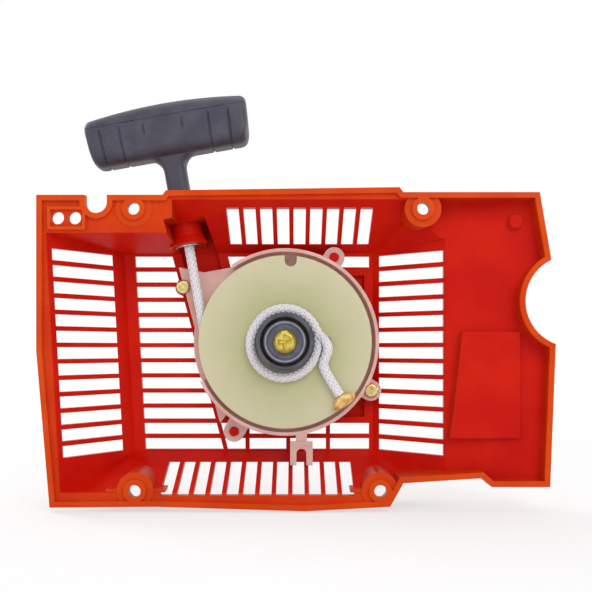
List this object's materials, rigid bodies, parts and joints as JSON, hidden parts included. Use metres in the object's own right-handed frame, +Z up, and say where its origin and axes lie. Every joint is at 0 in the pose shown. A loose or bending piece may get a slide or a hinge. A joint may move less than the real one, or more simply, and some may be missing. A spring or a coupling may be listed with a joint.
{
  "type": "recoil starter",
  "caption": "Pull-start side cover of a chainsaw: louvred moulded housing with rope pulley, recoil spring and T handle on a braided rope.",
  "frame": {"origin": "pulley axis where it meets the plane of the mounting rim", "axes": "+Z up as fitted, +X to the right seen from outside, -Y outwards from the engine, +Y towards the flywheel"},
  "size_m": [0.23, 0.044, 0.1906],
  "materials": {
    "cover_plastic": "orange-red moulded nylon, semi-gloss",
    "plate_nylon": "thin translucent pinkish nylon",
    "spring_steel": "blued spring steel",
    "yellow_zinc": "yellow zinc plated steel",
    "brass": "turned brass",
    "hub_plastic": "dark slate glass-filled nylon, satin",
    "bright_steel": "bright plated steel",
    "bush_bronze": "oiled sintered bronze",
    "pulley_nylon": "natural yellow-green white nylon, satin",
    "rope_braid": "white braided polyamide",
    "rope_melt": "melted amber rope end",
    "handle_plastic": "slate grey moulded plastic, fine texture"
  },
  "bodies": {
    "cover": {"starter_housing": "cover_plastic", "spring_cover_plate": "plate_nylon", "recoil_spring": "spring_steel", "plate_screws": "yellow_zinc", "post_insert": "brass", "centre_washer": "hub_plastic", "centre_screw": "brass", "rope_eyelet": "bright_steel"},
    "pulley": {"rope_pulley": "pulley_nylon", "hub_sleeve": "hub_plastic", "hub_bush": "bush_bronze", "rope_winding": "rope_braid", "rope_on_hub": "rope_braid", "rope_melted_end": "rope_melt"},
    "handle": {"handle_body": "handle_plastic", "handle_cap": "handle_plastic", "knot_washer": "bright_steel", "rope_knot": "rope_braid", "rope_run": "rope_braid"}
  },
  "joints": [
    {"name": "pulley_spin", "type": "hinge", "parent": "cover", "child": "pulley", "pos_m": [0, -0.02, 0], "axis": [0, -1, 0], "range_deg": [0, 1260], "stiffness_Nm_per_rad": 0.012, "springref_deg": -859.44},
    {"name": "handle_pull", "type": "slide", "parent": "cover", "child": "handle", "axis": [0.1736, 0, 0.9848], "range_m": [0, 0.6258], "deforming": ["rope_run"]}
  ],
  "couplings": [
    {"joint": "handle_pull", "follows": "pulley_spin", "m_per_rad": 0.02845}
  ]
}
